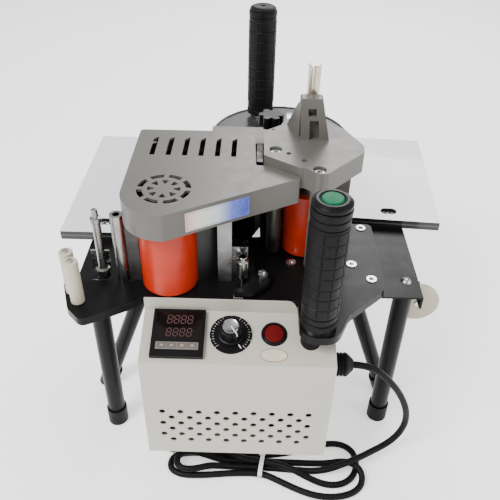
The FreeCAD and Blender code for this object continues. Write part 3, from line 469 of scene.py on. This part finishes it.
def add_cord():
    """Seven millimetre lead, its tied hank on the floor, the tie and the moulded plug."""
    curve = bpy.data.curves.new("mains_lead", "CURVE")
    curve.dimensions = "3D"
    curve.bevel_depth, curve.bevel_resolution, curve.use_fill_caps = CORD_DIAMETER / 2, 6, True
    spline = curve.splines.new("NURBS")
    route = LEAD_ROUTE + HANK_ROUTE
    spline.points.add(len(route) - 1)
    for point, (x, y, z) in zip(spline.points, route):
        point.co = (x * MM, y * MM, z * MM, 1)
    spline.order_u = 3
    spline.use_endpoint_u = True
    spline.resolution_u = 10
    lead = add_piece("mains_lead", curve, "base", MATERIALS["black_rubber"],
                     ("mains_cord", "cord_hank"), smooth=False)
    plug = add_plug()
    tie = add_tie()
    line = curve.copy()
    line.bevel_depth = 0
    holder = bpy.data.objects.new("lead_line", line)
    traced = bpy.data.meshes.new_from_object(holder)
    bpy.data.objects.remove(holder)


def rounded_box(work, low, high, radius, cuts=3):
    """Block with rolled edges."""
    centre, size = (Vector(low) + Vector(high)) / 2, Vector(high) - Vector(low)
    place = Matrix.Translation(centre) @ Matrix.Diagonal((*size, 1))
    made = bmesh.ops.create_cube(work, size=1.0, matrix=place)
    edges = list(dict.fromkeys(edge for vertex in made["verts"] for edge in vertex.link_edges))
    bmesh.ops.bevel(work, geom=edges, offset=radius, segments=cuts, profile=0.5, affect="EDGES")


def add_plug():
    """Moulded plug with finger ribs, a neck for the lead and three pins."""
    low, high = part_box("mains_plug")
    body_low = low.x + 17 * MM
    middle = (low.y + high.y) / 2

    mesh = as_mesh("plug_body", lambda work: body_parts(work, body_low, low, high, middle))
    plug = add_piece("plug_body", mesh, "base", MATERIALS["black_rubber"], ("mains_plug",))
    pins = as_mesh("plug_pins", lambda work: pin_parts(work, low, body_low, middle))
    add_piece("plug_pins", pins, "base", MATERIALS["zinc_steel"], bevel=0.0003)
    return plug


def body_parts(work, start, low, high, middle):
    """Tapered neck, head and finger ribs of the plug, along X; the neck is turned while it is alone."""
    taper = [(0, 0), (0.0071, 0), (0.0069, 0.004), (0.0056, 0.012), (0.0052, 0.016), (0.0046, 0.016)]
    lathe(work, taper + [(0, 0.0159)], 40)
    sideways = Matrix.Translation((start + 0.026, middle, high.z / 2)) @ Matrix.Rotation(math.pi / 2, 4, "Y")
    work.transform(sideways)
    rounded_box(work, (start, low.y, low.z + 0.0002), (start + 0.028, high.y, high.z), 0.0035)
    for i in range(4):
        rib = start + 0.006 + i * 0.0048
        rib_low = (rib, low.y - 0.0006, low.z + 0.001)
        rib_high = (rib + 0.0024, high.y + 0.0006, high.z + 0.0004)
        rounded_box(work, rib_low, rib_high, 0.001)


def pin_parts(work, low, end, middle):
    """Two flat pins and an earth pin, as on the plug's solid."""
    for y, z, width, height in ((-0.0095, 0.0083, 0.0018, 0.0045), (0.0085, 0.0083, 0.0018, 0.0045),
                                (0.0, 0.0049, 0.0045, 0.0018)):
        brick(work, ((low.x + end) / 2, middle + y, z), (end - low.x + 0.002, width, height))


def add_tie():
    """White releasable tie round the middle of the hank, with its square head on top."""
    low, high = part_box("cord_tie")
    centre = (low + high) / 2

    def band(work):
        steps, half_width = 48, 0.0022
        radius_y, radius_z = (high.y - low.y) / 2 - 0.0005, (high.z - low.z) / 2 - 0.0004
        rings = []
        for i in range(steps):
            turn = 2 * math.pi * i / steps
            flat = abs(math.cos(turn)) ** 0.35 * math.copysign(1, math.cos(turn))
            tall = abs(math.sin(turn)) ** 0.55 * math.copysign(1, math.sin(turn))
            out = Vector((0, flat * radius_y, tall * radius_z))
            skew = Vector((0.0025 * flat, 0, 0))
            inner = out * 0.955
            corners = ((out, -half_width), (out, half_width), (inner, half_width), (inner, -half_width))
            rings.append([work.verts.new(centre + skew + part + Vector((side, 0, 0)))
                          for part, side in corners])
        for here, there in zip(rings, rings[1:] + rings[:1]):
            for k in range(4):
                work.faces.new((here[k], here[(k + 1) % 4], there[(k + 1) % 4], there[k]))
        head_low = (centre.x - 0.0035, centre.y + 0.004, high.z - 0.003)
        head_high = (centre.x + 0.0035, centre.y + 0.0095, high.z + 0.001)
        rounded_box(work, head_low, head_high, 0.0006)

    mesh = as_mesh("tie_band", band)
    return add_piece("tie_band", mesh, "base", MATERIALS["white_tie"], ("cord_tie",))


add_cord()


# ------------------------------------------------------------------ controls
def add_dial_marks():
    """White graduations and dots on the dial plate, and the pointer line and cap of the knob."""
    ink = plain("white_ink", (0.8, 0.8, 0.8), 0.5)
    face = panel_box("dial_plate")[1].z + 0.00008

    def marks(work):
        for i in range(31):
            turn = math.radians(-135 + 9 * i)
            spot = Vector((math.sin(turn), math.cos(turn), 0)) * 0.0168 + Vector((0, 0, face))
            brick(work, spot, (0.00025, 0.0021 if i % 3 == 0 else 0.0013, 0.00018), -turn)
            if i % 3 == 0:
                dot = Vector((math.sin(turn), math.cos(turn), 0)) * 0.0191 + Vector((0, 0, face))
                brick(work, dot, (0.0006, 0.0006, 0.00018), math.pi / 4 - turn)

    mesh = as_mesh("dial_marks", marks, PANEL)
    add_piece("dial_marks", mesh, "base", ink, smooth=False)
    knob_high = panel_box("speed_knob")[1]
    silver = steel("knob_cap", (0.45, 0.45, 0.44), 0.22, (60, 1, 1), 0.3)

    def cap(work):
        top = knob_high.z
        lathe(work, [(0, top - 0.0002), (0.0070, top - 0.0002), (0.0074, top + 0.0003),
                     (0.0069, top + 0.0007), (0.0064, top + 0.0004), (0, top + 0.0003)], 72)

    add_piece("knob_cap", as_mesh("knob_cap", cap, PANEL), "speed", silver)

    def pointer(work):
        rotate = math.radians(35)
        aim = Vector((math.sin(rotate), -math.cos(rotate), 0))
        brick(work, aim * 0.0052 + Vector((0, 0, knob_high.z + 0.0008)), (0.0009, 0.0092, 0.0004), rotate)
        brick(work, aim * 0.0101 + Vector((0, 0, knob_high.z / 2)), (0.0009, 0.0007, knob_high.z), rotate)
        brick(work, aim * 0.0135 + Vector((0, 0, 0.0012)), (0.0009, 0.0070, 0.0008), rotate)

    mesh = as_mesh("knob_pointer", pointer, PANEL)
    add_piece("knob_pointer", mesh, "speed", ink, smooth=False)


def figure_eight(work, spot, height):
    """All seven bars of one display figure, lower left corner at a spot."""
    width, bar = height * 0.52, height * 0.13
    half = height / 2
    bars = [(width / 2, height, False), (width, half * 1.5, True), (width, half * 0.5, True),
            (width / 2, 0, False), (0, half * 0.5, True), (0, half * 1.5, True), (width / 2, half, False)]
    for x, y, standing in bars:
        size = (bar, half * 0.78, 0.0002) if standing else (width * 0.78, bar, 0.0002)
        slant = 0.12 * (y - half)
        brick(work, (spot[0] + x + slant, spot[1] + y, spot[2]), size)


def add_displays():
    """Two rows of four red figures behind the window, with a faint painted glow, and the arrow marks on the
    four keys.
    """
    low, high = panel_box("controller_window")
    # faint painted glow on the figures
    red = plain("dim_digits", (0.065, 0.035, 0.035), 0.4, painted_glow=(0.5, 0.16, 0.15), strength=0.02)
    for row, up, height in ((1, 0.58, 0.0080), (2, 0.12, 0.0076)):
        def figures(work):
            for i in range(4):
                spot = (low.x + 0.0105 + i * 0.0062, low.y + up * (high.y - low.y), high.z + 0.00005)
                figure_eight(work, spot, height)
        mesh = as_mesh("figures", figures, PANEL)
        add_piece(f"display_row_{row}", mesh, "base", red, smooth=False)
    ink = plain("grey_ink", (0.62, 0.60, 0.56), 0.5)
    for i in range(1, 5):
        key_low, key_high = panel_box(f"controller_key_{i}")
        middle = (key_low + key_high) / 2

        def arrow(work):
            for side in (-1, 1):
                spot = (middle.x + side * 0.0007, middle.y, key_high.z + 0.00005)
                brick(work, spot, (0.0004, 0.0024, 0.0002), side * 0.6)

        mesh = as_mesh("key_mark", arrow, PANEL)
        add_piece(f"key_mark_{i}", mesh, f"key_{i}", ink, smooth=False)


def ellipse(work, centre, radius_x, radius_y, thickness, steps=64):
    """Flat oval plate."""
    lathe(work, [(0, 0), (1, 0), (1, 1), (0, 1)], steps)
    place = Matrix.Translation(centre) @ Matrix.Diagonal((radius_x, radius_y, thickness, 1))
    bmesh.ops.transform(work, matrix=place, verts=work.verts[:])


def add_oval_label():
    """Blank oval label under the red switch, with a darker printed border."""
    low, high = panel_box("power_switch")
    centre_x, bottom = (low.x + high.x) / 2, -0.0175
    brown = plain("label_border", (0.30, 0.19, 0.12), 0.5)
    cream = plain("label_face", (0.62, 0.56, 0.45), 0.5)
    layers = (("label_border", brown, 0.0125, 0.0068, 0.00022), ("label_face", cream, 0.0117, 0.006, 0.0003))
    for name, material, rx, ry, thickness in layers:
        spot = (centre_x, bottom - 0.002, 0.0)
        mesh = as_mesh(name, lambda work: ellipse(work, spot, rx, ry, thickness), PANEL)
        add_piece(name, mesh, "base", material)


def add_key_strip():
    """Membrane strip the four keys stand in."""
    corners = [corner for i in range(1, 5) for corner in panel_box(f"controller_key_{i}")]
    low = Vector(min(corner[k] for corner in corners) for k in range(3))
    high = Vector(max(corner[k] for corner in corners) for k in range(3))
    low -= Vector((0.0016, 0.0012, 0))
    high += Vector((0.0016, 0.0012, -0.0004))
    skin = rubber("key_film", (0.16, 0.14, 0.125), 0.4)
    mesh = as_mesh("key_strip", lambda work: rounded_box(work, low, high, 0.0002), PANEL)
    add_piece("key_strip", mesh, "base", skin)


def add_small_metal():
    """Bright strip on the gate, and the white triangular marker beside it."""
    bright = steel("blued_strip", (0.40, 0.44, 0.50), 0.2, (1, 40, 1))
    low, high = (0.0262, -0.0098, 0.3125), (0.0338, 0.0068, 0.3206)
    strip = as_mesh("gate_strip", lambda work: rounded_box(work, low, high, 0.0006))
    add_piece("gate_strip", strip, "base", bright)
    white = plain("marker_white", (0.75, 0.75, 0.74), 0.4)

    def marker(work):
        corners = ((-0.006, 0.257), (0.0014, 0.2575), (0.0008, 0.268))
        front = [work.verts.new((x, -0.1318, z)) for x, z in corners]
        back = [work.verts.new((vertex.co.x, -0.1306, vertex.co.z)) for vertex in front]
        work.faces.new(front)
        work.faces.new(back[::-1])
        for i in range(3):
            work.faces.new((front[i], back[i], back[(i + 1) % 3], front[(i + 1) % 3]))

    add_piece("arrow_marker", as_mesh("arrow_marker", marker), "base", white, bevel=0.0002)


def add_grip_tiles(name, points, tile_rows, tiles_round):
    """Raised rubber tiles round one grip, in rows between its collars."""
    low = Vector(min(point[k] for point in points) for k in range(3))
    high = Vector(max(point[k] for point in points) for k in range(3))
    middle = (low + high) / 2
    skin = (high.x - low.x) / 2 - 0.0006
    start, end = low.z + 0.0155, high.z - 0.0165
    rows, steps = int((end - start) / 0.00055), tiles_round * 12

    def relief(turn, height):
        across = (turn * tiles_round / (2 * math.pi)) % 1.0
        along = ((height - start) / (end - start) * tile_rows) % 1.0
        ridge = min(1.0, min(across, 1 - across) * 14) * min(1.0, min(along, 1 - along) * 14)
        return skin - 0.0004 + 0.0009 * ridge

    def ring_at(work, height, inside=None):
        ring = []
        for i in range(steps):
            turn = 2 * math.pi * i / steps
            reach = inside or relief(turn, height)
            x, y = middle.x + reach * math.cos(turn), middle.y + reach * math.sin(turn)
            ring.append(work.verts.new((x, y, height)))
        return ring

    def sleeve(work):
        rings = [ring_at(work, start + (end - start) * row / rows) for row in range(rows + 1)]
        rings += [ring_at(work, height, skin - 0.0012) for height in (end, start)]
        for below, above in zip(rings, rings[1:] + rings[:1]):
            for i in range(steps):
                j = (i + 1) % steps
                work.faces.new((below[i], below[j], above[j], above[i]))

    add_piece(name, as_mesh(name, sleeve), "base", MATERIALS["black_rubber"])


def add_grips():
    """Tile sleeves on the front and the rear grip."""
    points = [vertex.co for vertex in NODES["handle_grips"].data.vertices]
    add_grip_tiles("front_grip_tiles", [point for point in points if point.y < 0], 8, 10)
    add_grip_tiles("rear_grip_tiles", [point for point in points if point.y > 0], 9, 10)


add_grips()
add_key_strip()
add_small_metal()
add_dial_marks()
add_displays()
add_oval_label()


# ------------------------------------------------------------------ sticker
def add_sticker():
    """Plain colour-gradient label on the straight front side of the vented cover."""
    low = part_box("vented_cover")[0]
    start, end = Vector((-0.080, -0.1855, 0)), Vector((0.0375, -0.1188, 0))
    along = (end - start).normalized()
    outward = Vector((along.y, -along.x, 0))
    length, height = 0.062, 0.019
    centre = start + along * 0.051 + Vector((0, 0, low.z + 0.0125))
    turn = Matrix((along, Vector((0, 0, 1)), -outward)).transposed().to_4x4()
    place = Matrix.Translation(centre + outward * 0.0001) @ turn
    stops = [(0.0, (0.66, 0.36, 0.30)), (0.2, (0.70, 0.66, 0.55)), (0.5, (0.55, 0.62, 0.62)),
             (0.72, (0.10, 0.16, 0.62)), (1.0, (0.02, 0.04, 0.42))]
    middle = centre.dot(along)
    film = gradient("label_film", along, middle - length / 2, middle + length / 2, stops)
    mesh = as_mesh("cover_label", lambda work: brick(work, (0, 0, 0), (length, height, 0.0003)), place)
    add_piece("cover_label", mesh, "base", film, bevel=0.0001)
    rim = plain("label_rim", (0.20, 0.22, 0.45), 0.4)

    def border(work):
        for side in (-1, 1):
            brick(work, (0, side * (height / 2 - 0.0012), -0.0002), (length - 0.003, 0.0004, 0.00015))
            brick(work, (side * (length / 2 - 0.0015), 0, -0.0002), (0.0004, height - 0.0024, 0.00015))

    mesh = as_mesh("cover_label_rim", border, place)
    add_piece("cover_label_rim", mesh, "base", rim, smooth=False)


add_sticker()


# ------------------------------------------------------------------ studio
def add_studio():
    """Pale floor, white surroundings and three soft lights."""
    mesh = as_mesh("floor", lambda work: bmesh.ops.create_grid(work, x_segments=1, y_segments=1, size=6))
    floor = bpy.data.objects.new("floor", mesh)
    bpy.context.collection.objects.link(floor)
    look = Look("floor_paint", (0.94, 0.94, 0.94), 0.7)
    look.paint(look.ramp(look.noise(3.0), (0.93, 0.93, 0.93), (0.95, 0.95, 0.95)))
    look.shader.inputs["Emission Color"].default_value = (1, 1, 1, 1)
    look.shader.inputs["Emission Strength"].default_value = 0.7
    mesh.materials.append(look.material)
    world = bpy.data.worlds.new("studio")
    world.use_nodes = True
    world.node_tree.nodes["Background"].inputs["Color"].default_value = (1, 1, 1, 1)
    world.node_tree.nodes["Background"].inputs["Strength"].default_value = 0.85
    bpy.context.scene.world = world
    for name, place, power, size in (("key", (-0.9, -0.9, 1.6), 40, 0.7), ("fill", (1.4, -0.6, 1.0), 12, 1.2),
                                     ("back", (0.3, 1.5, 1.5), 30, 1.0)):
        data = bpy.data.lights.new(name, "AREA")
        data.energy, data.size = power, size
        lamp = bpy.data.objects.new(name, data)
        lamp.location = place
        lamp.rotation_mode = "QUATERNION"
        lamp.rotation_quaternion = (Vector(place) - Vector((0, 0, 0.2))).to_track_quat("Z", "Y")
        bpy.context.collection.objects.link(lamp)


add_studio()
